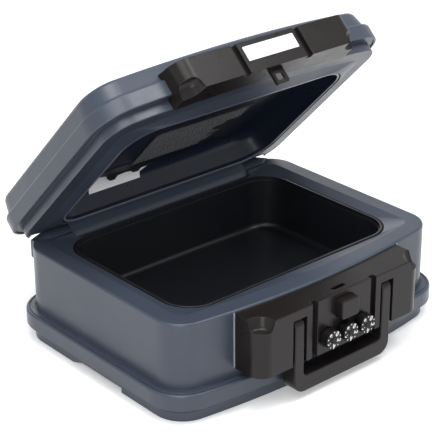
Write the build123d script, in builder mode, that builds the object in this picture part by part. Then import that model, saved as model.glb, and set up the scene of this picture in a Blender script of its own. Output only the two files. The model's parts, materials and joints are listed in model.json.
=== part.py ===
"""Fireproof document box: a moulded fire-resistant chest with a hinged lid, a push-button catch,
three number dials and a drop handle.

Millimetres, +Z up, front towards -Y, floor at Z = 0.  Everything on the lid is drawn with the lid
shut and swung open about the hinge rod when it is written out.
"""
import os
from math import sqrt

from build123d import *

os.makedirs("parts", exist_ok=True)

# ---------------------------------------------------------------- driving dimensions
WALL_HALF = 190.0          # half width over the side walls
WALL_REAR = 136.25         # rear wall face
WALL_FRONT = -148.0        # front wall face at the middle of its bow
BOW_R = 1046.0             # plan radius of the bowed front
CORNER_R = 33.6            # plan corner radius of the walls
SKIN = 3.0                 # moulded wall thickness

PAN_TOP = 35.6             # shelf of the bottom pan
FOOT_H = 5.8
DECK_TOP = 111.7           # top of the base
DECK_BAND = 20.0           # flat band round the deck
MOUTH_X, MOUTH_Y, MOUTH_R = 152.5, 105.0, 34.0
MOUTH_TOP = 107.0          # where the deck funnel ends
FLOOR_TOP = 40.0           # inside floor of the base

RIM_BOTTOM = 112.2         # parting face of the lid
LID_STEP = 123.2           # lower edge of the overhanging lid band
LID_TOP = 162.8
CEILING = 138.0            # inside ceiling of the lid
CEILING_R = 17.0           # radius between ceiling and side walls of the lid tub

HINGE_Y, HINGE_Z = 131.5, 99.6
LID_OPEN = 45.8            # angle at which the lid stands
BARREL_R = 16.2
BARREL_HALF = 130.8
EAR_HALF = 131.4
EAR_R = 16.5

FACE_Y = -180.5            # front face of the black panels
PANEL_HALF = 119.5
PILLAR_R = 16.5
PANEL_BOTTOM, PANEL_TOP = 45.0, 109.0
GROOVE_IN, GROOVE_OUT, GROOVE_DEEP = 39.5, 47.0, 6.0
SCOOP_X, SCOOP_Y = 116.7, -178.2   # axis of the finger recesses

ARM_X, ARM_W, ARM_DEEP = 64.25, 13.0, 19.5
SLOT_W, SLOT_TOP = 19.5, 98.2
PIVOT_Y = FACE_Y + ARM_DEEP / 2
PIVOT_Z = 87.7
HANDLE_LOW, BAR_TOP = 9.0, 28.0

DIAL_PITCH, DIAL_Z, DIAL_R = 25.3, 63.5, 10.5
DIAL_FRONT = -191.4
DISC_R = 9.0

BUTTON_HALF, BUTTON_LOW, BUTTON_HIGH = 12.6, 81.0, 102.5
BUTTON_FRONT = -190.0
STRIKER_FRONT, STRIKER_BACK = -171.0, -168.0

FRAME_SHIFT = 6.35         # puts the origin under the middle of the open box


# ---------------------------------------------------------------- shared shapes
def outline(grow):
    """Plan of the box, offset outwards by grow; the front side is bowed."""
    half = WALL_HALF + grow
    front = WALL_FRONT - grow
    bow = BOW_R + grow
    side = front + bow - sqrt(bow**2 - half**2)
    with BuildSketch(mode=Mode.PRIVATE) as plan:
        with BuildLine():
            Polyline((-half, side), (-half, WALL_REAR + grow), (half, WALL_REAR + grow), (half, side))
            ThreePointArc((half, side), (0, front), (-half, side))
        make_face()
        fillet(plan.vertices(), CORNER_R + grow)
    return plan.sketch


def mouth(grow):
    """Plan of the storage opening, offset outwards by grow."""
    with BuildSketch(mode=Mode.PRIVATE) as plan:
        RectangleRounded(2 * (MOUTH_X + grow), 2 * (MOUTH_Y + grow), MOUTH_R + grow)
    return plan.sketch


def slab(plan, low, high):
    """Straight extrusion of a plan between two heights."""
    with BuildPart(mode=Mode.PRIVATE) as body:
        with BuildSketch(Plane.XY.offset(low)):
            add(plan)
        extrude(amount=high - low)
    return body.part


def tower(levels):
    """Ruled body through (height, plan) levels."""
    with BuildPart(mode=Mode.PRIVATE) as body:
        for height, plan in levels:
            with BuildSketch(Plane.XY.offset(height)):
                add(plan)
        loft(ruled=True)
    return body.part


def block(x0, x1, y0, y1, z0, z1):
    """Box between limits."""
    with BuildPart(mode=Mode.PRIVATE) as body:
        with Locations(((x0 + x1) / 2, (y0 + y1) / 2, (z0 + z1) / 2)):
            Box(x1 - x0, y1 - y0, z1 - z0)
    return body.part


def rod_x(radius, x0, x1, y, z):
    """Cylinder along X."""
    with BuildPart(mode=Mode.PRIVATE) as body:
        with BuildSketch(Plane.YZ.offset(x0)):
            with Locations((y, z)):
                Circle(radius)
        extrude(amount=x1 - x0)
    return body.part


def rod_y(radius, x, z, y0, y1):
    """Cylinder along Y."""
    with BuildPart(mode=Mode.PRIVATE) as body:
        with BuildSketch(Plane.XZ.offset(-y0)):
            with Locations((x, z)):
                Circle(radius)
        extrude(amount=-(y1 - y0))
    return body.part


def rod_z(radius, x, y, z0, z1):
    """Cylinder along Z."""
    with BuildPart(mode=Mode.PRIVATE) as body:
        with BuildSketch(Plane.XY.offset(z0)):
            with Locations((x, y)):
                Circle(radius)
        extrude(amount=z1 - z0)
    return body.part


def spring(radius, wire, length, turns, y0, x, z):
    """Compression spring along Y starting at y0."""
    pitch = (length - 2 * wire) / turns
    with BuildPart(mode=Mode.PRIVATE) as body:
        with BuildLine() as path:
            Helix(pitch=pitch, height=length - 2 * wire, radius=radius)
        with BuildSketch(Plane(path.line @ 0, z_dir=path.line % 0)):
            Circle(wire / 2)
        sweep(is_frenet=True)
    return Pos(x, y0 + wire, z) * (Rot(-90, 0, 0) * body.part)


def screw(head_r, head_h, shank_r, length):
    """Pan-head screw pointing down -Z from its seat at the origin, with a cross recess."""
    with BuildPart(mode=Mode.PRIVATE) as body:
        Cylinder(head_r, head_h, align=(Align.CENTER, Align.CENTER, Align.MIN))
        fillet(body.edges().sort_by(Axis.Z)[-1], head_h * 0.45)
        Cylinder(shank_r, length, align=(Align.CENTER, Align.CENTER, Align.MAX))
        with Locations((0, 0, head_h)):
            Box(head_r * 1.1, head_r * 0.25, head_h * 0.9, mode=Mode.SUBTRACT)
            Box(head_r * 0.25, head_r * 1.1, head_h * 0.9, mode=Mode.SUBTRACT)
    return body.part


def panel_plan(front, back, half):
    """Plan of the black panels: flat face, round pillars at both ends."""
    with BuildSketch(mode=Mode.PRIVATE) as plan:
        with Locations((0, (front + back) / 2)):
            Rectangle(2 * half, back - front)
        fillet(plan.vertices().group_by(Axis.Y)[0], PILLAR_R)
    return plan.sketch


def scoop(side, floor, mouth_z, floor_r, mouth_r, bowl):
    """Conical finger recess with a rounded floor at one pillar; it opens towards mouth_z."""
    with BuildPart(mode=Mode.PRIVATE) as body:
        for height, radius in ((floor, floor_r), (mouth_z, mouth_r)):
            with BuildSketch(Plane.XY.offset(height)):
                with Locations((side * SCOOP_X, SCOOP_Y)):
                    Circle(radius)
        loft()
        fillet(body.edges().filter_by(GeomType.CIRCLE).sort_by(SortBy.RADIUS)[0], bowl)
    return body.part


def ear():
    """Right-hand hinge ear: a drum that ramps down outwards, cut flush with the rear wall."""
    with BuildPart(mode=Mode.PRIVATE) as body:
        for reach, radius in ((160, EAR_R), (177, 11.0)):
            with BuildSketch(Plane.YZ.offset(reach)):
                with Locations((HINGE_Y, HINGE_Z)):
                    Circle(radius)
        loft()
        add(rod_x(EAR_R, EAR_HALF - 0.2, 160, HINGE_Y, HINGE_Z))
        add(block(0, 200, 80, WALL_REAR, 60, 130), mode=Mode.INTERSECT)
    return body.part


def grip():
    """Outline of the finger opening of the handle."""
    with BuildSketch(mode=Mode.PRIVATE) as opening:
        with Locations((0, (BAR_TOP + 120) / 2)):
            Rectangle(2 * ARM_X - ARM_W, 120 - BAR_TOP)
        fillet(opening.vertices().group_by(Axis.Y)[0], 5)
    return opening.sketch


def lining(inset):
    """Space inside the lid tub, drawn in from its surface by inset."""
    with BuildPart(mode=Mode.PRIVATE) as body:
        add(tower([(108.0, mouth(-inset)), (113.0, mouth(-inset)), (CEILING - inset, mouth(-11.0 - inset * 0.7))]))
        fillet(body.edges().group_by(Axis.Z)[-1], CEILING_R - inset)
    return body.part


SHUT_TO_OPEN = Pos(0, HINGE_Y, HINGE_Z) * Rot(-LID_OPEN, 0, 0) * Pos(0, -HINGE_Y, -HINGE_Z)


def save(shape, label, on_lid=False):
    """Write one sub-part in the shared frame; lid pieces are swung open first."""
    placed = Pos(0, FRAME_SHIFT, 0) * (SHUT_TO_OPEN * shape if on_lid else shape)
    placed.label = label
    export_step(placed, f"parts/{label}.step")


# ---------------------------------------------------------------- bottom pan
NOTCH_FRONT, NOTCH_REAR, NOTCH_RAMP = -43.4, 25.1, 42.8
SKIRT = 11.5
outer_groove = slab(outline(8.4) - outline(7.0), PAN_TOP - 1.4, PAN_TOP + 1)
inner_groove = slab(outline(1.8) - outline(0.3), PAN_TOP - 1.4, PAN_TOP + 1)

with BuildPart() as base_pan:
    add(slab(outline(2.5), 0, 10))
    add(tower([(10, outline(2.5)), (18, outline(SKIRT))]))
    add(slab(outline(SKIRT), 18, PAN_TOP))
    fillet(base_pan.edges().group_by(Axis.Z)[-1], 2.4)
    # two fine grooves with a bead between them on the shelf
    add(outer_groove, mode=Mode.SUBTRACT)
    add(inner_groove, mode=Mode.SUBTRACT)
    # hollow above the floor and under the shelf
    add(slab(outline(-SKIN), FOOT_H + SKIN, PAN_TOP + 1), mode=Mode.SUBTRACT)
    add(slab(outline(SKIRT - SKIN), 20, PAN_TOP - 3.4), mode=Mode.SUBTRACT)
    # foot ring under the edge with a notch at each side
    add(slab(outline(-20), -1, FOOT_H), mode=Mode.SUBTRACT)
    with BuildSketch(Plane.YZ.offset(-200)):
        Polygon((NOTCH_FRONT, -1), (NOTCH_RAMP + 1, -1), (NOTCH_RAMP, 0), (NOTCH_REAR, FOOT_H),
                (NOTCH_FRONT, FOOT_H), align=None)
    extrude(amount=400, mode=Mode.SUBTRACT)
save(base_pan.part, "base_pan")

# ---------------------------------------------------------------- upper shell of the base
right_ear = ear()
trough = rod_x(20, -EAR_HALF - SKIN, EAR_HALF + SKIN, HINGE_Y, HINGE_Z) & slab(outline(-0.5), 70, 105)
under_band = slab(outline(-SKIN) - outline(-DECK_BAND), 102.4, DECK_TOP - SKIN)

with BuildPart() as base_shell:
    add(slab(outline(0), PAN_TOP, DECK_TOP))
    fillet(base_shell.edges().group_by(Axis.Z)[-1], 2.5)
    add(slab(outline(-SKIN), PAN_TOP - 1, 102.5), mode=Mode.SUBTRACT)
    add(under_band, mode=Mode.SUBTRACT)
    add(slab(mouth(4.5), 90, DECK_TOP + 1), mode=Mode.SUBTRACT)
    add(tower([(MOUTH_TOP, mouth(4.5)), (DECK_TOP + 0.05, outline(-DECK_BAND))]), mode=Mode.SUBTRACT)
    # hinge trough with its own wall, and the two ears
    add(trough)
    add(right_ear)
    mirror(right_ear, about=Plane.YZ)
    with BuildSketch(Plane.YZ.offset(-EAR_HALF)):
        with Locations((HINGE_Y, HINGE_Z)):
            Circle(BARREL_R + 0.8)
        Polygon((114.5, HINGE_Z), (150, HINGE_Z), (150, 105), (114.5, 105), align=None)
        Polygon((109.4, 105), (150, 105), (150, 120), (109.4, 120), align=None)
        Polygon((HINGE_Y, HINGE_Z - BARREL_R - 0.8), (150, HINGE_Z - BARREL_R - 0.8),
                (150, HINGE_Z), (HINGE_Y, HINGE_Z), align=None)
    extrude(amount=2 * EAR_HALF, mode=Mode.SUBTRACT)
    add(rod_x(3.05, -169, 169, HINGE_Y, HINGE_Z), mode=Mode.SUBTRACT)
save(base_shell.part, "base_shell")

# ---------------------------------------------------------------- storage tub of the base
with BuildPart() as tub:
    add(slab(mouth(-1.6), FLOOR_TOP, 103))
    fillet(tub.edges().group_by(Axis.Z)[0], 7)
    add(slab(mouth(0), 103, MOUTH_TOP + 1))

with BuildPart() as base_liner:
    add(slab(mouth(2.6), FLOOR_TOP - 2.5, MOUTH_TOP + 0.5))
    fillet(base_liner.edges().group_by(Axis.Z)[0], 8)
    fillet(base_liner.edges().group_by(Axis.Z)[-1], 0.8)
    add(tub.part, mode=Mode.SUBTRACT)
save(base_liner.part, "base_liner")

save(slab(mouth(4.3) - mouth(2.8), 101, 105.2), "base_seal")

with BuildPart() as base_insulation:
    add(slab(outline(-SKIN - 0.3), FOOT_H + SKIN + 0.2, 102.2))
    add(slab(mouth(2.8), FLOOR_TOP - 2.7, 103), mode=Mode.SUBTRACT)
    add(slab(mouth(4.5), 100.8, 103), mode=Mode.SUBTRACT)
    add(rod_x(20.2, -EAR_HALF - SKIN - 0.2, EAR_HALF + SKIN + 0.2, HINGE_Y, HINGE_Z), mode=Mode.SUBTRACT)
    add(rod_x(EAR_R + 0.2, -178, 178, HINGE_Y, HINGE_Z), mode=Mode.SUBTRACT)
    add(block(-EAR_HALF - 3.2, EAR_HALF + 3.2, HINGE_Y, 140, 79.4, 110), mode=Mode.SUBTRACT)
save(base_insulation.part, "base_insulation")

# ---------------------------------------------------------------- black lock housing
CAVITY_HALF = 36.5

with BuildPart() as lock_housing:
    add(slab(panel_plan(FACE_Y, -130, PANEL_HALF), PANEL_BOTTOM, PANEL_TOP))
    add(slab(outline(0.15), 30, 120), mode=Mode.SUBTRACT)
    fillet(lock_housing.edges().filter_by(Plane.XY).group_by(Axis.Z)[-1].filter_by(
        lambda e: e.center().Y < -155), 1.0)
    for side in (-1, 1):
        add(scoop(side, 96.8, PANEL_TOP + 0.6, 13.2, 18.4, 4.5), mode=Mode.SUBTRACT)
        add(block(*sorted((side * GROOVE_IN, side * GROOVE_OUT)), FACE_Y - 1, FACE_Y + GROOVE_DEEP, 40, 120),
            mode=Mode.SUBTRACT)
        add(block(side * ARM_X - SLOT_W / 2, side * ARM_X + SLOT_W / 2, FACE_Y - 1, -159.0, 40, SLOT_TOP),
            mode=Mode.SUBTRACT)
        add(block(*sorted((side * 78, side * 115)), -173, -150, 48, 92), mode=Mode.SUBTRACT)
        add(rod_x(3.05, *sorted((side * 48.4, side * 81.2)), PIVOT_Y, PIVOT_Z), mode=Mode.SUBTRACT)
    # mechanism space with corner posts, spring seat and bolt shelf left standing
    add(block(-CAVITY_HALF, CAVITY_HALF, FACE_Y - 1, -140, 48, 106), mode=Mode.SUBTRACT)
    add(block(-39.5, 39.5, FACE_Y - 1, FACE_Y + 3.1, 44, 120), mode=Mode.SUBTRACT)
    for x in (-33.2, 33.2):
        for z in (51.3, 102.7):
            add(block(x - 3.4, x + 3.4, -176.8, -153.7, z - 3.4, z + 3.4))
    add(block(-37, 37, -167.8, -164.8, 83.5, 91.4))
    add(block(-37, 37, -166.6, -154.0, 92.4, 94.6))
    for x in (-33.2, 33.2):
        for z in (51.3, 102.7):
            add(rod_y(1.25, x, z, -162, -153), mode=Mode.SUBTRACT)
    # slot for the striker
    add(block(-9.4, 9.4, -172.4, -166.9, 104, 120), mode=Mode.SUBTRACT)
save(lock_housing.part, "lock_housing")

with BuildPart() as lock_plate:
    add(block(-39.2, 39.2, FACE_Y, FACE_Y + 3.0, PANEL_BOTTOM, PANEL_TOP - 0.2))
    fillet(lock_plate.edges().group_by(Axis.Y)[0].filter_by(Axis.Z), 0.8)
    with BuildSketch(Plane.XZ.offset(-FACE_Y + 1)):
        with Locations((0, (BUTTON_LOW + BUTTON_HIGH) / 2)):
            RectangleRounded(2 * BUTTON_HALF + 0.9, BUTTON_HIGH - BUTTON_LOW + 0.9, 3.6)
    extrude(amount=-6, mode=Mode.SUBTRACT)
    for k in (-1, 0, 1):
        add(rod_y(2.56, k * DIAL_PITCH, DIAL_Z, FACE_Y - 1, FACE_Y + 4), mode=Mode.SUBTRACT)
        add(rod_y(DIAL_R + 0.8, k * DIAL_PITCH, DIAL_Z, FACE_Y - 1, FACE_Y + 1.0), mode=Mode.SUBTRACT)
save(lock_plate.part, "lock_plate")

with BuildPart() as lock_back_plate:
    add(block(-36.3, 36.3, -153.5, -151.5, 48.3, 105.7))
    for k in (-1, 0, 1):
        add(rod_y(2.56, k * DIAL_PITCH, DIAL_Z, -154, -151), mode=Mode.SUBTRACT)
    for x in (-33.2, 33.2):
        for z in (51.3, 102.7):
            add(rod_y(1.5, x, z, -154, -151), mode=Mode.SUBTRACT)
save(lock_back_plate.part, "lock_back_plate")

fastener = Rot(-90, 0, 0) * screw(2.4, 1.2, 1.2, 8)

with BuildPart() as lock_plate_screws:
    with Locations([(x, -151.45, z) for x in (-33.2, 33.2) for z in (51.3, 102.7)]):
        add(fastener)
save(lock_plate_screws.part, "lock_plate_screws")

# ---------------------------------------------------------------- drop handle
finger_opening = grip()

with BuildPart() as handle:
    with BuildSketch(Plane.XZ.offset(-FACE_Y)) as bail:
        with Locations((0, (HANDLE_LOW + SLOT_TOP) / 2)):
            Rectangle(2 * ARM_X + ARM_W, SLOT_TOP - HANDLE_LOW)
        fillet(bail.vertices().group_by(Axis.Y)[0], 15)
        add(finger_opening, mode=Mode.SUBTRACT)
    extrude(amount=-ARM_DEEP)
    with BuildSketch(Plane.YZ.offset(-80)):
        with Locations((PIVOT_Y, (HANDLE_LOW + PIVOT_Z) / 2)):
            Rectangle(ARM_DEEP, PIVOT_Z - HANDLE_LOW)
        with Locations((PIVOT_Y, PIVOT_Z)):
            Circle(ARM_DEEP / 2)
    extrude(amount=160, mode=Mode.INTERSECT)
    fillet(handle.edges().group_by(Axis.Y)[0], 1.4)
    add(rod_x(3.08, -80, 80, PIVOT_Y, PIVOT_Z), mode=Mode.SUBTRACT)
save(handle.part, "handle")

with BuildPart() as handle_pins:
    for side in (-1, 1):
        add(rod_x(3.0, *sorted((side * 48.6, side * 81.0)), PIVOT_Y, PIVOT_Z))
save(handle_pins.part, "handle_pins")

# ---------------------------------------------------------------- push button and catch
with BuildPart() as push_button:
    with BuildSketch(Plane.XZ.offset(-BUTTON_FRONT)):
        with Locations((0, (BUTTON_LOW + BUTTON_HIGH) / 2)):
            RectangleRounded(2 * BUTTON_HALF, BUTTON_HIGH - BUTTON_LOW, 3.4)
    extrude(amount=-15)
    fillet(push_button.edges().group_by(Axis.Y)[0], 1.3)
    # retaining flange behind the centre plate
    add(block(-15, 15, -176.9, -175.0, 78.5, 105.0))
    add(block(-10.1, 10.1, BUTTON_FRONT + 2.5, -170, BUTTON_LOW + 2.5, 100.0), mode=Mode.SUBTRACT)
    # room for the striker, and legs that reach past it to the bolt
    add(block(-9.4, 9.4, -179.0, -170, 92.0, 110.0), mode=Mode.SUBTRACT)
    for side in (-1, 1):
        add(block(*sorted((side * 9.7, side * 12.3)), -175.5, -168.4, 95.2, 100.2))
save(push_button.part, "push_button")

with BuildPart() as lock_bar:
    add(block(-31, 31, -176.4, -174.0, 75.0, 78.4))
    for k in (-1, 0, 1):
        add(block(k * DIAL_PITCH - 1.5, k * DIAL_PITCH + 1.5, -176.4, -174.0, DIAL_Z + DISC_R + 0.7, 75.5))
save(lock_bar.part, "lock_bar")

with BuildPart() as latch_bolt:
    add(block(-12.5, 12.5, -163.0, -155.0, 95.0, 105.4))
    add(block(-4, 4, -167.2, -162.0, 98.8, 103.0))
    chamfer(latch_bolt.edges().group_by(Axis.Y)[0].filter_by(Axis.X).sort_by(Axis.Z)[-1], 2.2)
    add(rod_y(3.0, 0, 100.2, -161.0, -154.0), mode=Mode.SUBTRACT)
save(latch_bolt.part, "latch_bolt")

save(spring(2.2, 0.6, 7.2, 5, -160.9, 0, 100.2), "latch_spring")
save(spring(3.0, 0.7, 19.4, 7, -187.4, 0, 87.4), "button_spring")

# ---------------------------------------------------------------- number dials
for number, k in enumerate((-1, 0, 1), start=1):
    x = k * DIAL_PITCH
    with BuildPart() as knob:
        add(rod_y(DIAL_R, x, DIAL_Z, DIAL_FRONT, FACE_Y - 0.5))
        chamfer(knob.edges().group_by(Axis.Y)[0], 0.5)
        chamfer(knob.edges().group_by(Axis.Y)[-1], 0.6)
        add(rod_y(3.6, x, DIAL_Z, DIAL_FRONT - 0.7, DIAL_FRONT + 0.5))
        add(rod_y(2.5, x, DIAL_Z, -186.4, -180), mode=Mode.SUBTRACT)
    save(knob.part, f"dial_knob_{number}")

    with BuildPart() as shaft:
        add(rod_y(2.5, x, DIAL_Z, -186.4, -150.6))
        add(rod_y(4.0, x, DIAL_Z, -176.9, -175.9))
    save(shaft.part, f"dial_shaft_{number}")

    with BuildPart() as disc:
        add(rod_y(DISC_R, x, DIAL_Z, -172.5, -170.0))
        add(rod_y(2.5, x, DIAL_Z, -173, -169), mode=Mode.SUBTRACT)
        add(block(x - 2, x + 2, -173, -169, DIAL_Z + 5, DIAL_Z + 12), mode=Mode.SUBTRACT)
    save(disc.part, f"gate_disc_{number}")

# ---------------------------------------------------------------- hinge rod
with BuildPart() as hinge_rod:
    add(rod_x(3.0, -168, 168, HINGE_Y, HINGE_Z))
    chamfer(hinge_rod.edges(), 0.6)
save(hinge_rod.part, "hinge_rod")

# ---------------------------------------------------------------- lid cover
COVER = [(LID_STEP, 9.4), (124.2, 10.1), (139.3, 10.1), (141.2, 9.0), (142.4, 5.6), (143.4, 5.2),
         (159.0, 2.0), (161.6, 0.2), (LID_TOP, -3.0)]

with BuildPart() as lid_cover:
    add(tower([(z, outline(g)) for z, g in COVER]))
    add(tower([(LID_STEP - 0.1, outline(7.1)), (139.0, outline(7.1)), (142.0, outline(2.4)),
               (158.0, outline(-1.0)), (159.8, outline(-4.0))]), mode=Mode.SUBTRACT)
save(lid_cover.part, "lid_cover", on_lid=True)

# ---------------------------------------------------------------- lid rim with hinge barrel
rim_space = slab(outline(-SKIN - 0.5) - mouth(6.5), 115.2, 130)
ear_arches = [rod_x(19.8, *sorted((side * 129.0, side * 179.5)), HINGE_Y, HINGE_Z)
              & slab(outline(-0.5), RIM_BOTTOM, 121) for side in (-1, 1)]

with BuildPart() as lid_rim:
    add(slab(outline(-0.5), RIM_BOTTOM, 127))
    fillet(lid_rim.edges().group_by(Axis.Z)[0], 1.2)
    add(slab(outline(6.9), 124.3, 127.2))
    add(tower([(MOUTH_TOP + 0.6, mouth(5.0)), (RIM_BOTTOM + 0.02, outline(-DECK_BAND - 0.5))]))
    add(rim_space, mode=Mode.SUBTRACT)
    for arch in ear_arches:
        add(arch)
    add(slab(mouth(4.0), 100, 130), mode=Mode.SUBTRACT)
    with BuildSketch(Plane.YZ.offset(-BARREL_HALF)) as knuckle:
        with Locations((HINGE_Y, HINGE_Z)):
            Circle(BARREL_R)
        Polygon((HINGE_Y - BARREL_R, HINGE_Z), (136, HINGE_Z), (136, 114), (HINGE_Y - BARREL_R, 114), align=None)
        Polygon((136, 70), (160, 70), (160, 130), (136, 130), align=None, mode=Mode.SUBTRACT)
    extrude(amount=2 * BARREL_HALF)
    for side in (-1, 1):
        add(rod_x(EAR_R + 0.8, *sorted((side * 131.0, side * 178.0)), HINGE_Y, HINGE_Z), mode=Mode.SUBTRACT)
    add(rod_x(3.06, -140, 140, HINGE_Y, HINGE_Z), mode=Mode.SUBTRACT)
save(lid_rim.part, "lid_rim", on_lid=True)

# ---------------------------------------------------------------- lid tub, seal and filling
with BuildPart() as lid_liner:
    add(tower([(108.2, mouth(2.6)), (114.0, mouth(2.6)), (CEILING + 2.5, mouth(-8.0))]))
    fillet(lid_liner.edges().group_by(Axis.Z)[-1], 13)
    add(lining(0), mode=Mode.SUBTRACT)
save(lid_liner.part, "lid_liner", on_lid=True)

save(slab(mouth(3.9) - mouth(2.7), 108.6, 113.0), "lid_seal", on_lid=True)

with BuildPart() as lid_insulation:
    add(tower([(127.4, outline(6.8)), (138.8, outline(6.8)), (141.8, outline(2.2)), (157.8, outline(-1.2)),
               (159.6, outline(-4.2))]))
    add(slab(outline(-SKIN - 0.8), 121.4, 127.6))
    add(slab(mouth(6.8), 110, 127.5), mode=Mode.SUBTRACT)
    add(tower([(113.0, mouth(2.9)), (CEILING + 2.7, mouth(-7.7))]), mode=Mode.SUBTRACT)
save(lid_insulation.part, "lid_insulation", on_lid=True)

# ---------------------------------------------------------------- lid panel, plate and striker
LID_PANEL_LOW = 110.0

with BuildPart() as lid_panel:
    add(slab(panel_plan(FACE_Y, -125, PANEL_HALF), LID_PANEL_LOW, 152))
    with BuildSketch(Plane.YZ.offset(-130)):
        Polygon((-190, 143.8), (-120, 152.2), (-120, 170), (-190, 170), align=None)
    extrude(amount=260, mode=Mode.SUBTRACT)
    add(tower([(z, outline(g + 0.15)) for z, g in COVER]), mode=Mode.SUBTRACT)
    add(slab(outline(10.25), LID_STEP - 0.15, 126), mode=Mode.SUBTRACT)
    add(slab(outline(0.4), 100, DECK_TOP + 0.6), mode=Mode.SUBTRACT)
    add(slab(outline(-0.35), 110, LID_STEP), mode=Mode.SUBTRACT)
    add(block(-37, 37, -177.5, -152.6, 113, 140.5), mode=Mode.SUBTRACT)
    for side in (-1, 1):
        add(scoop(side, 124.3, LID_PANEL_LOW - 0.6, 13.0, 17.3, 9.0), mode=Mode.SUBTRACT)
        add(block(*sorted((side * GROOVE_IN, side * GROOVE_OUT)), FACE_Y - 1, FACE_Y + GROOVE_DEEP, 100, 160),
            mode=Mode.SUBTRACT)
        add(rod_z(1.25, side * 11.2, -163, 109, 114), mode=Mode.SUBTRACT)
    add(block(-9.2, 9.2, -172.3, -167.0, 108, 114), mode=Mode.SUBTRACT)
save(lid_panel.part, "lid_panel", on_lid=True)

with BuildPart() as nameplate:
    with BuildSketch(Plane.XZ.offset(-FACE_Y + 0.9)):
        with Locations((0, 130.75)):
            RectangleRounded(69.6, 16.5, 0.8)
    extrude(amount=-0.85)
save(nameplate.part, "nameplate", on_lid=True)

with BuildPart() as striker:
    add(block(-8.5, 8.5, STRIKER_FRONT, STRIKER_BACK, 93.0, 114.0))
    fillet(striker.edges().filter_by(Axis.Y).group_by(Axis.Z)[0], 1.8)
    for side in (-1, 1):
        add(block(*sorted((side * 5.6, side * 8.5)), -171.9, -167.4, 94.8, 114.0))
    for side in (-1, 1):
        add(block(*sorted((side * 6.5, side * 7.6)), -172.0, -171.0, 96.0, 112.0), mode=Mode.SUBTRACT)
    add(block(-14.5, 14.5, -177.0, -158.0, 113.05, 115.2))
    add(block(-5.0, 5.0, -175, -166, 97.2, 105.0), mode=Mode.SUBTRACT)
    for side in (-1, 1):
        add(rod_z(1.5, side * 11.2, -163, 112, 116), mode=Mode.SUBTRACT)
save(striker.part, "striker", on_lid=True)

small_screw = screw(2.6, 1.5, 1.2, 4.6)

with BuildPart() as striker_screws:
    with Locations((-11.2, -163, 115.25), (11.2, -163, 115.25)):
        add(small_screw)
save(striker_screws.part, "striker_screws", on_lid=True)

# ---------------------------------------------------------------- labels inside the lid
save(block(-52, 92, -8, 74, CEILING - 0.5, CEILING - 0.05), "lid_label", on_lid=True)

with BuildPart() as lid_sticker:
    add(lining(0.05))
    add(lining(0.5), mode=Mode.SUBTRACT)
    with BuildSketch(Plane.XY.offset(129)) as cut:
        Polygon((-99, 77), (-8, 77), (-10, 85.5), (-26, 92.4), (-26, 120), (-99, 120), align=None)
    extrude(cut.sketch, amount=11, mode=Mode.INTERSECT)
save(lid_sticker.part, "lid_sticker", on_lid=True)
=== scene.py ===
import json
import math
import random

import bmesh
import bpy
from mathutils import Matrix, Vector


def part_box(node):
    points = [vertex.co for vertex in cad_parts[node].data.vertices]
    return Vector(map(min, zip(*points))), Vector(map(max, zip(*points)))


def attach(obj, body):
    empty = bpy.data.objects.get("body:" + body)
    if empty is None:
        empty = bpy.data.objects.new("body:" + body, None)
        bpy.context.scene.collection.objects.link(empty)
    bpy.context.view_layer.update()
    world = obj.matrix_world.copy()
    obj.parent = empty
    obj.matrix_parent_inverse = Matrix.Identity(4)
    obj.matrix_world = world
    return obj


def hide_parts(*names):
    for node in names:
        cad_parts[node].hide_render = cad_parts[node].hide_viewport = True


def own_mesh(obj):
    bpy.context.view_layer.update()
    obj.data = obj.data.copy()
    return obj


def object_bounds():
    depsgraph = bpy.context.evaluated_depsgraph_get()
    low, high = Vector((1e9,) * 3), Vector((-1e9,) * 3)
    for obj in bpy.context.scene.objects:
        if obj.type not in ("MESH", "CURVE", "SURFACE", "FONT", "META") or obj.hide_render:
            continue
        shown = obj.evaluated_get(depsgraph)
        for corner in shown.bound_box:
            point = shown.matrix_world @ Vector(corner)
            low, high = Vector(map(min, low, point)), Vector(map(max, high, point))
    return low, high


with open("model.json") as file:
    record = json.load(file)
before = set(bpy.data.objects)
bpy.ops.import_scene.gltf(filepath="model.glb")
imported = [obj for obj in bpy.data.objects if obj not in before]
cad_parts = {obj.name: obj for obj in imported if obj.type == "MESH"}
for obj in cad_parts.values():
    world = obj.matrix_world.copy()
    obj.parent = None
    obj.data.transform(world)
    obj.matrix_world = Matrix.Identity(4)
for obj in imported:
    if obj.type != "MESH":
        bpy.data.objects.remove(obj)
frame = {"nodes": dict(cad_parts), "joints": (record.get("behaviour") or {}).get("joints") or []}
cad_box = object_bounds()
nodes = frame["nodes"]
scene = bpy.context.scene

MM = 0.001
SHIFT_Y = 6.35     # mm, added to the part's own Y to give the frame's Y

# ------------------------------------------------------------------ camera
AZIMUTH, ELEVATION, ROLL = math.radians(-40.779), math.radians(25.046), math.radians(-0.449)
AIM_X, AIM_Y, DISTANCE = -0.017798, 0.116802, 1.749327
FRAME_SHIFT = Vector((0, SHIFT_Y * MM, 0))
SENSOR_WIDTH, LENS = 36.0, 126.47     # mm
LENS_SHIFT = (0.00178, 0.00468)
FAR_CLIP = 50.0

back = Vector((math.sin(AZIMUTH) * math.cos(ELEVATION),
               -math.cos(AZIMUTH) * math.cos(ELEVATION),
               math.sin(ELEVATION)))
right = Vector((math.cos(AZIMUTH), math.sin(AZIMUTH), 0))
up = back.cross(right)
right, up = (right * math.cos(ROLL) + up * math.sin(ROLL),
             up * math.cos(ROLL) - right * math.sin(ROLL))

camera = bpy.data.objects.new("camera", bpy.data.cameras.new("camera"))
scene.collection.objects.link(camera)
stand = right * AIM_X + up * AIM_Y + back * DISTANCE + FRAME_SHIFT
camera.matrix_world = Matrix.Translation(stand) @ Matrix((right, up, back)).transposed().to_4x4()
camera.data.sensor_width = SENSOR_WIDTH
camera.data.lens = LENS
camera.data.shift_x, camera.data.shift_y = LENS_SHIFT
camera.data.clip_end = FAR_CLIP
scene.camera = camera


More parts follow.
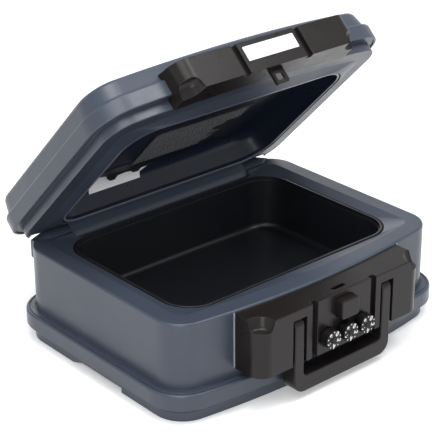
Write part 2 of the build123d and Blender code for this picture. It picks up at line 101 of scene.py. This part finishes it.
# ------------------------------------------------------------------ materials
class Tree:
    """Short way to wire a procedural material; numbers in noise calls are lumps per metre."""

    def __init__(self, name):
        self.material = bpy.data.materials.new(name)
        self.material.use_nodes = True
        self.tree = self.material.node_tree
        self.shader = self.tree.nodes["Principled BSDF"]
        self.coords = self.tree.nodes.new("ShaderNodeTexCoord").outputs["Object"]

    def node(self, kind, inputs=(), **settings):
        made = self.tree.nodes.new("ShaderNode" + kind)
        for key, value in settings.items():
            setattr(made, key, value)
        for key, value in dict(inputs).items():
            if isinstance(value, bpy.types.NodeSocket):
                self.tree.links.new(value, made.inputs[key])
            else:
                made.inputs[key].default_value = value
        return made

    def noise(self, scale, detail=3.0, roughness=0.55, stretch=(1, 1, 1)):
        place = self.node("Mapping", {"Vector": self.coords, "Scale": stretch})
        return self.node("TexNoise", {"Vector": place.outputs[0], "Scale": scale,
                                      "Detail": detail, "Roughness": roughness}).outputs["Fac"]

    def cells(self, scale):
        return self.node("TexVoronoi", {"Vector": self.coords, "Scale": scale}).outputs["Distance"]

    def span(self, value, low, high, to_low, to_high):
        return self.node("MapRange", {"Value": value, "From Min": low, "From Max": high,
                                      "To Min": to_low, "To Max": to_high}).outputs[0]

    def even(self, value, to_low, to_high):
        """Noise, which stays near its middle, spread over the whole of a range."""
        return self.span(value, 0.3, 0.7, to_low, to_high)

    def blend(self, factor, first, second):
        mix = self.node("Mix", {0: factor}, data_type="RGBA")
        for socket, colour in ((mix.inputs[6], first), (mix.inputs[7], second)):
            if isinstance(colour, bpy.types.NodeSocket):
                self.tree.links.new(colour, socket)
            else:
                socket.default_value = (*colour, 1)
        return mix.outputs[2]

    def bump(self, height, strength, distance, normal=None):
        inputs = {"Height": height, "Strength": strength, "Distance": distance}
        if normal is not None:
            inputs["Normal"] = normal
        return self.node("Bump", inputs).outputs[0]

    def math(self, operation, first, second):
        return self.node("Math", {0: first, 1: second}, operation=operation).outputs[0]

    def set(self, **sockets):
        for key, value in sockets.items():
            socket = self.shader.inputs[key.replace("_", " ")]
            if isinstance(value, bpy.types.NodeSocket):
                self.tree.links.new(value, socket)
            else:
                socket.default_value = value
        return self.material


def tinted(colour, factor):
    return tuple(min(1.0, c * factor) for c in colour)


RUB_AND_HIGHLIGHT = 3.2                     # how much lighter the plastic is made on an edge: rubbed wear, and a painted highlight where light catches the arris
SPARK_DEPTH = 0.12 * MM          # texture left by a spark-eroded mould
SINK_DEPTH = 1.2 * MM            # slow waviness of a moulded wall


def moulded(name, colour, rough, grain, wear_and_highlight, soft_edge=0.8 * MM, specular=0.5):
    """Moulded plastic: cloudy tone, fine spark texture, edges lightened for rubbed wear and as a
    painted highlight, rounded arrises.
    """
    t = Tree(name)
    rounded = t.node("Bevel", {"Radius": soft_edge}, samples=4).outputs[0]
    tone = t.blend(t.even(t.noise(9, 4), 0, 1), tinted(colour, 0.94), tinted(colour, 1.07))
    speck = t.span(t.noise(420, 2), 0.62, 0.75, 0, 0.35)
    tone = t.blend(speck, tone, tinted(colour, 1.25))
    edge = t.node("VectorMath", {0: rounded, 1: t.node("NewGeometry").outputs["Normal"]},
                  operation="DOT_PRODUCT").outputs["Value"]
    patchy = t.span(t.noise(60, 3), 0.35, 0.65, 0.35, 1)
    # edges are painted lighter, partly as rubbed wear and partly as a painted highlight along the
    # arrises
    rub_and_highlight = t.math("MULTIPLY", t.span(edge, 0.995, 0.9, 0, wear_and_highlight), patchy)
    tone = t.blend(rub_and_highlight, tone, tinted(colour, RUB_AND_HIGHLIGHT))
    fine = t.bump(t.noise(2600, 3, 0.6), grain, SPARK_DEPTH, rounded)
    wavy = t.bump(t.noise(14, 2), 0.05, SINK_DEPTH, fine)
    roughness = t.even(t.noise(30, 5, 0.65), rough - 0.05, rough + 0.06)
    return t.set(Base_Color=tone, Roughness=roughness, Normal=wavy, Specular_IOR_Level=specular)


def metal(name, colour, rough, along):
    """Turned or drawn metal with fine lines."""
    t = Tree(name)
    lines = t.noise(900, 3, 0.6, along)
    tone = t.blend(t.even(t.noise(25, 4), 0, 1), tinted(colour, 0.85), tinted(colour, 1.08))
    return t.set(Base_Color=tone, Metallic=1.0, Roughness=t.even(lines, rough - 0.07, rough + 0.1),
                 Normal=t.bump(lines, 0.25, 0.08 * MM))


def rubber(name, colour):
    """Dull foamed rubber."""
    t = Tree(name)
    tone = t.blend(t.noise(80, 4), tinted(colour, 0.8), tinted(colour, 1.3))
    return t.set(Base_Color=tone, Roughness=t.even(t.noise(200, 3), 0.6, 0.8),
                 Normal=t.bump(t.noise(1500, 3), 0.2, 0.1 * MM), Specular_IOR_Level=0.35)


def cast_filling(name, colour):
    """Cast mineral filling with small pores."""
    t = Tree(name)
    pores = t.span(t.cells(260), 0.0, 0.35, 0, 1)
    tone = t.blend(t.noise(45, 5), tinted(colour, 0.85), tinted(colour, 1.1))
    tone = t.blend(pores, tinted(colour, 0.5), tone)
    return t.set(Base_Color=tone, Roughness=t.span(pores, 0, 1, 0.95, 0.85),
                 Normal=t.bump(pores, 0.6, 0.6 * MM))


def printed(name, colour, rough):
    """Paper, film or ink with a faint tooth."""
    t = Tree(name)
    tone = t.blend(t.even(t.noise(300, 4), 0, 1), tinted(colour, 0.93), tinted(colour, 1.04))
    return t.set(Base_Color=tone, Roughness=t.even(t.noise(90, 3), rough - 0.06, rough + 0.08),
                 Normal=t.bump(t.noise(1800, 2), 0.12, 0.05 * MM))


BLUE_GREY = (0.046, 0.057, 0.081)
WARM_BLACK = (0.0135, 0.0103, 0.0100)
TUB_BLUE = (0.010, 0.014, 0.026)
WELL_BLACK = (0.010, 0.011, 0.014)
DIAL_BLACK = (0.004, 0.004, 0.0045)
shell = moulded("shell_plastic", BLUE_GREY, rough=0.33, grain=0.35, wear_and_highlight=0.9)
black = moulded("black_plastic", WARM_BLACK, rough=0.30, grain=0.35, wear_and_highlight=0.6, specular=0.25)
liner = moulded("liner_plastic", TUB_BLUE, rough=0.30, grain=0.10, wear_and_highlight=0.3, specular=0.3)
liner_well = moulded("well_plastic", WELL_BLACK, rough=0.33, grain=0.25, wear_and_highlight=0.12)
dial_black = moulded("dial_plastic", DIAL_BLACK, rough=0.5, grain=0.6, wear_and_highlight=0.25,
                     soft_edge=0.3 * MM, specular=0.25)
seal = rubber("seal_rubber", (0.010, 0.010, 0.011))
filling = cast_filling("insulation", (0.62, 0.60, 0.56))
steel = metal("plated_steel", (0.62, 0.62, 0.60), rough=0.3, along=(0.05, 1, 1))
brass = metal("brass", (0.72, 0.52, 0.22), rough=0.28, along=(1, 0.05, 1))
white_plate = printed("nameplate_white", (0.86, 0.87, 0.88), rough=0.38)
label_dark = printed("label_dark", (0.012, 0.013, 0.016), rough=0.4)
label_print = printed("label_print", (0.30, 0.30, 0.31), rough=0.5)
label_grey = printed("label_grey", (0.92, 0.90, 0.92), rough=0.4)
# light-coloured plastic that paints a highlight on the thin strips by the lock housing
painted_edge_highlight = moulded("painted_edge_highlight", (0.34, 0.36, 0.40), rough=0.35, grain=0.2, wear_and_highlight=0.3)
digit_white = printed("digit_white", (0.9, 0.9, 0.9), rough=0.5)

COATS = {
    shell: ["base_shell", "lid_cover", "lid_rim", "base_pan"],
    black: ["lock_housing", "lock_plate", "lid_panel", "handle", "push_button", "striker"],
    liner: ["lid_liner"],
    liner_well: ["base_liner"],
    dial_black: ["dial_knob_1", "dial_knob_2", "dial_knob_3"],
    seal: ["base_seal", "lid_seal"],
    filling: ["base_insulation", "lid_insulation"],
    steel: ["hinge_rod", "handle_pins", "latch_bolt", "striker_screws", "lock_plate_screws",
            "lock_back_plate", "lock_bar", "latch_spring", "button_spring"],
    brass: ["gate_disc_1", "gate_disc_2", "gate_disc_3", "dial_shaft_1", "dial_shaft_2",
            "dial_shaft_3"],
    white_plate: ["nameplate"],
    label_dark: ["lid_label"],
    label_grey: ["lid_sticker"],
}
for material, names in COATS.items():
    for name in names:
        slots = nodes[name].data.materials
        slots.clear()
        slots.append(material)

# ------------------------------------------------------------------ added pieces
# The lid's own pieces are laid out with the lid shut, and OPENED turns them to the lid at rest.
hinge = next(j for j in frame["joints"] if j["name"] == "lid_hinge")
pivot = Vector(hinge["pos_m"])
swing = Matrix.Rotation(math.radians(hinge["range_deg"][0]), 4, "X")
OPENED = Matrix.Translation(pivot) @ swing @ Matrix.Translation(-pivot)


def piece(name, mesh, material, body):
    """One visible piece with its finish, riding on a body."""
    made = bpy.data.objects.new(name, mesh)
    scene.collection.objects.link(made)
    mesh.materials.clear()
    mesh.materials.append(material)
    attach(made, body)
    return made


def plates(name, outlines, low, high, material, body, place):
    """Flat pieces from outlines in millimetres, between two heights, set in place by a matrix."""
    mesh = bpy.data.meshes.new(name)
    shape = bmesh.new()
    for outline in outlines:
        rings = [[shape.verts.new((x * MM, y * MM, z * MM)) for x, y in outline]
                 for z in (low, high)]
        shape.faces.new(rings[0][::-1])
        shape.faces.new(rings[1])
        count = len(outline)
        for i in range(count):
            j = (i + 1) % count
            shape.faces.new((rings[0][i], rings[0][j], rings[1][j], rings[1][i]))
    bmesh.ops.recalc_face_normals(shape, faces=shape.faces)
    shape.transform(place)
    shape.to_mesh(mesh)
    shape.free()
    return piece(name, mesh, material, body)


def rectangle(x0, x1, y0, y1):
    return [(x0, y0), (x1, y0), (x1, y1), (x0, y1)]


INK = 0.1 * MM     # thickness of a printed mark


def glyph(text, size):
    """Filled outline of one character as a thin mesh, centred on the origin in XY."""
    curve = bpy.data.curves.new("glyph", "FONT")
    curve.body = text
    curve.size = size
    curve.extrude = INK / 2
    curve.offset = 0.32 * MM     # thickens the strokes
    curve.align_x = "CENTER"
    curve.align_y = "CENTER"
    holder = bpy.data.objects.new("glyph", curve)
    scene.collection.objects.link(holder)
    bpy.context.view_layer.update()
    drawn = holder.evaluated_get(bpy.context.evaluated_depsgraph_get())
    mesh = bpy.data.meshes.new_from_object(drawn)
    bpy.data.objects.remove(holder)
    return mesh


# painted highlight along the lower edge of the tub's lip, where light catches its small radius,
# told by the height that a point has with the lid shut
LIP_HIGH, LIP_LOW = 109.4 * MM, 108.6 * MM
LIP_PAINTED_HIGHLIGHT = (0.20, 0.22, 0.26, 1)
lip = liner.node_tree
lip_shader = lip.nodes["Principled BSDF"]
lip_place = next(n for n in lip.nodes if n.bl_idname == "ShaderNodeTexCoord").outputs["Object"]
up_shut = OPENED.to_3x3() @ Vector((0, 0, 1))
to_world = nodes["lid_liner"].matrix_world
offset = up_shut.dot(to_world.translation - OPENED @ Vector((0, 0, 0)))
height = lip.nodes.new("ShaderNodeVectorMath")
height.operation = "DOT_PRODUCT"
height.inputs[1].default_value = to_world.to_3x3().transposed() @ up_shut
lip.links.new(lip_place, height.inputs[0])
near = lip.nodes.new("ShaderNodeMapRange")
near.inputs["From Min"].default_value = LIP_HIGH - offset
near.inputs["From Max"].default_value = LIP_LOW - offset
lip.links.new(height.outputs["Value"], near.inputs["Value"])
# mixes the painted highlight colour into the liner along the lip
lighter = lip.nodes.new("ShaderNodeMix")
lighter.data_type = "RGBA"
lip.links.new(near.outputs[0], lighter.inputs[0])
lip.links.new(lip_shader.inputs["Base Color"].links[0].from_socket, lighter.inputs[6])
lighter.inputs[7].default_value = LIP_PAINTED_HIGHLIGHT
lip.links.new(lighter.outputs[2], lip_shader.inputs["Base Color"])

# digits and dots round each dial, read from the front
DIGIT_R, DIGIT_SIZE = 6.9 * MM, 7.2 * MM
DOT_R, DOT_SIZE = 9.0 * MM, 0.8 * MM
FIRST, STEP = math.radians(54), math.radians(72)
MARK_DEPTH = 0.7 * MM     # from the rim of a dial back to its marked face
for number in (1, 2, 3):
    low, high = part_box(f"dial_knob_{number}")
    centre = Vector(((low.x + high.x) / 2, low.y + MARK_DEPTH, (low.z + high.z) / 2))
    facing = Matrix.Translation(centre) @ Matrix.Rotation(math.pi / 2, 4, "X")
    shape = bmesh.new()
    for index, digit in enumerate("02468"):
        turn = FIRST - index * STEP
        mark = glyph(digit, DIGIT_SIZE)
        mark.transform(facing @ Matrix.Rotation(turn - math.pi / 2, 4, "Z")
                       @ Matrix.Translation((0, DIGIT_R, 0)))
        shape.from_mesh(mark)
        dot = turn - STEP / 2
        dot_place = Matrix.Translation((DOT_R * math.cos(dot), DOT_R * math.sin(dot), 0))
        bmesh.ops.create_cone(shape, cap_ends=True, segments=16, radius1=DOT_SIZE,
                              radius2=DOT_SIZE, depth=INK, matrix=facing @ dot_place)
    mesh = bpy.data.meshes.new("dial_digits")
    shape.to_mesh(mesh)
    shape.free()
    piece(f"dial_digits_{number}", mesh, digit_white, f"dial_{number}")

# thin strips whose light colour is a painted highlight along the edges where the shell meets the
# sides of the lock housing
EDGE_INNER, EDGE_OUTER = 119.6, 120.5
EDGE_FRONT, EDGE_REAR = -136.0, -130.0
EDGE_FOOT, EDGE_TOP = 46, 109.5
for side, name in ((-1, "left"), (1, "right")):
    low, high = sorted((side * EDGE_INNER, side * EDGE_OUTER))
    plates(f"housing_edge_highlight_{name}", [rectangle(low, high, EDGE_FRONT, EDGE_REAR)],
           EDGE_FOOT, EDGE_TOP, painted_edge_highlight, "base", Matrix.Identity(4))

# ------------------------------------------------------------------ printed sheets in the lid
# rows of broken lines in place of words; sizes in mm, on the underside of the label
LABEL_FACE = 137.5
ROWS, SHORT_ROWS, ROW_PITCH = 18, 12, 4.0
LINE_HEIGHT, WORD_GAP = 1.9, 1.3
TOP_ROW, LINE_START = 68, -48.0
SHORT_END, LONG_END = 62, 88
rng = random.Random(7)
words = []
for row in range(ROWS):
    y = TOP_ROW - row * ROW_PITCH + SHIFT_Y
    x = LINE_START + rng.uniform(0, 1.5)
    last = LONG_END if row >= SHORT_ROWS else SHORT_END + rng.uniform(-14, 10)
    while x < last:
        end = min(x + rng.uniform(2.0, 8), last)
        words.append(rectangle(x, end, y, y + LINE_HEIGHT))
        x = end + WORD_GAP
plates("label_lines", words, LABEL_FACE - 0.06, LABEL_FACE + 0.02, label_print, "lid",
       OPENED)

# dark blot on the sticker; it bends down over the round corner of the tub
BEND_Y, BEND_R = 77.0, 17.0
BEND_CUTS = 12
BLOT_FACE, BLOT_THICK = 137.38, 0.5
blot = [(-99, 62), (-99, 74), (-88, 77.5), (-79, 80), (-76, 85), (-72, 88), (-65, 88.3),
        (-61, 84.5), (-50, 83.5), (-42, 84.5), (-39, 87.2), (-31, 87.5), (-27, 84.5),
        (-10, 84.5), (-8, 75), (-53, 74), (-54, 62)]
picture = bmesh.new()
picture.faces.new([picture.verts.new((x, y, BLOT_FACE)) for x, y in blot])
for row in range(BEND_CUTS):
    whole = picture.verts[:] + picture.edges[:] + picture.faces[:]
    bmesh.ops.bisect_plane(picture, geom=whole, plane_co=(0, BEND_Y + row, 0), plane_no=(0, 1, 0))
for vert in picture.verts:
    past = max(0.0, vert.co.y - BEND_Y)
    vert.co.z -= BEND_R - math.sqrt(BEND_R ** 2 - past ** 2)
for vert in bmesh.ops.extrude_face_region(picture, geom=picture.faces[:])["geom"]:
    if isinstance(vert, bmesh.types.BMVert):
        vert.co.z += BLOT_THICK
bmesh.ops.recalc_face_normals(picture, faces=picture.faces)
picture.transform(OPENED @ Matrix.Translation((0, SHIFT_Y * MM, 0)) @ Matrix.Scale(MM, 4))
picture_mesh = bpy.data.meshes.new("sticker_picture")
picture.to_mesh(picture_mesh)
picture.free()
piece("sticker_picture", picture_mesh, label_dark, "lid")

# the button's spring is copied into a piece of its own with its own mesh, riding on the base, and
# the node is hidden; the button's spring shortens as the button goes in, which a rigid node can't
# do
coil_mesh = nodes["button_spring"].data.copy()
coil_mesh.transform(nodes["button_spring"].matrix_world)
coil = piece("button_coil", coil_mesh, steel, "base")
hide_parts("button_spring")
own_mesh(coil)

# ------------------------------------------------------------------ stage and light
FLOOR_REACH = 6.0
floor_mesh = bpy.data.meshes.new("floor")
floor_mesh.from_pydata([(x, y, 0) for x, y in rectangle(-FLOOR_REACH, FLOOR_REACH, -FLOOR_REACH,
                                                        FLOOR_REACH)], [], [(0, 1, 2, 3)])
floor = bpy.data.objects.new("floor", floor_mesh)
scene.collection.objects.link(floor)
floor.location.z = cad_box[0][2] - 0.2 * MM
floor_mesh.materials.append(Tree("floor").set(
    Base_Color=(0.92, 0.92, 0.92, 1), Roughness=0.9,
    Emission_Color=(1, 1, 1, 1), Emission_Strength=0.28))
floor.visible_diffuse = False


def area_light(name, place, aim, size, power):
    """Soft white panel at a place, turned to what it lights; sizes in metres, power in watts."""
    light = bpy.data.objects.new(name, bpy.data.lights.new(name, "AREA"))
    light.data.shape = "RECTANGLE"
    light.data.size, light.data.size_y = size
    light.data.energy = power
    light.location = place
    light.rotation_euler = (Vector(aim) - Vector(place)).to_track_quat("-Z", "Y").to_euler()
    scene.collection.objects.link(light)


# crown and band stand where the top edges of the open lid mirror them to the front
area_light("key", (-1.2, -0.8, 2.0), (0, 0, 0.15), (1.5, 1.1), 18)
area_light("band", (0.40, -0.60, 1.45), (-0.1, -0.05, 0.33), (0.6, 0.6), 8)
area_light("crown", (-0.35, -0.20, 1.7), (-0.17, -0.02, 0.33), (0.7, 0.7), 10)
area_light("corner", (-0.85, -0.75, 0.22), (-0.17, -0.13, 0.08), (0.25, 0.4), 2)
area_light("back", (1.0, 2.0, 1.2), (0, 0.1, 0.12), (1.6, 0.8), 6)

world = bpy.data.worlds.new("studio")
scene.world = world
world.use_nodes = True
sky = world.node_tree

# brightness by height, from straight down at 0 to straight up at 1
SKY_STOPS = ((0.0, 0.30), (0.33, 0.40), (0.50, 0.95), (0.60, 0.85), (0.85, 0.50))
direction = sky.nodes.new("ShaderNodeTexCoord").outputs["Generated"]
height = sky.nodes.new("ShaderNodeSeparateXYZ")
sky.links.new(direction, height.inputs[0])
glow = sky.nodes.new("ShaderNodeValToRGB")
for stop, level in SKY_STOPS:
    mark = glow.color_ramp.elements.new(stop)
    mark.color = (level * 0.95, level * 0.97, level, 1)
for spare in (glow.color_ramp.elements[-1], glow.color_ramp.elements[0]):
    glow.color_ramp.elements.remove(spare)
rise = sky.nodes.new("ShaderNodeMath")
rise.operation = "MULTIPLY_ADD"
rise.inputs[1].default_value = 0.5
rise.inputs[2].default_value = 0.5
sky.links.new(height.outputs["Z"], rise.inputs[0])
sky.links.new(rise.outputs[0], glow.inputs[0])
sky.links.new(glow.outputs[0], sky.nodes["Background"].inputs["Color"])
scene.view_settings.view_transform = "Standard"
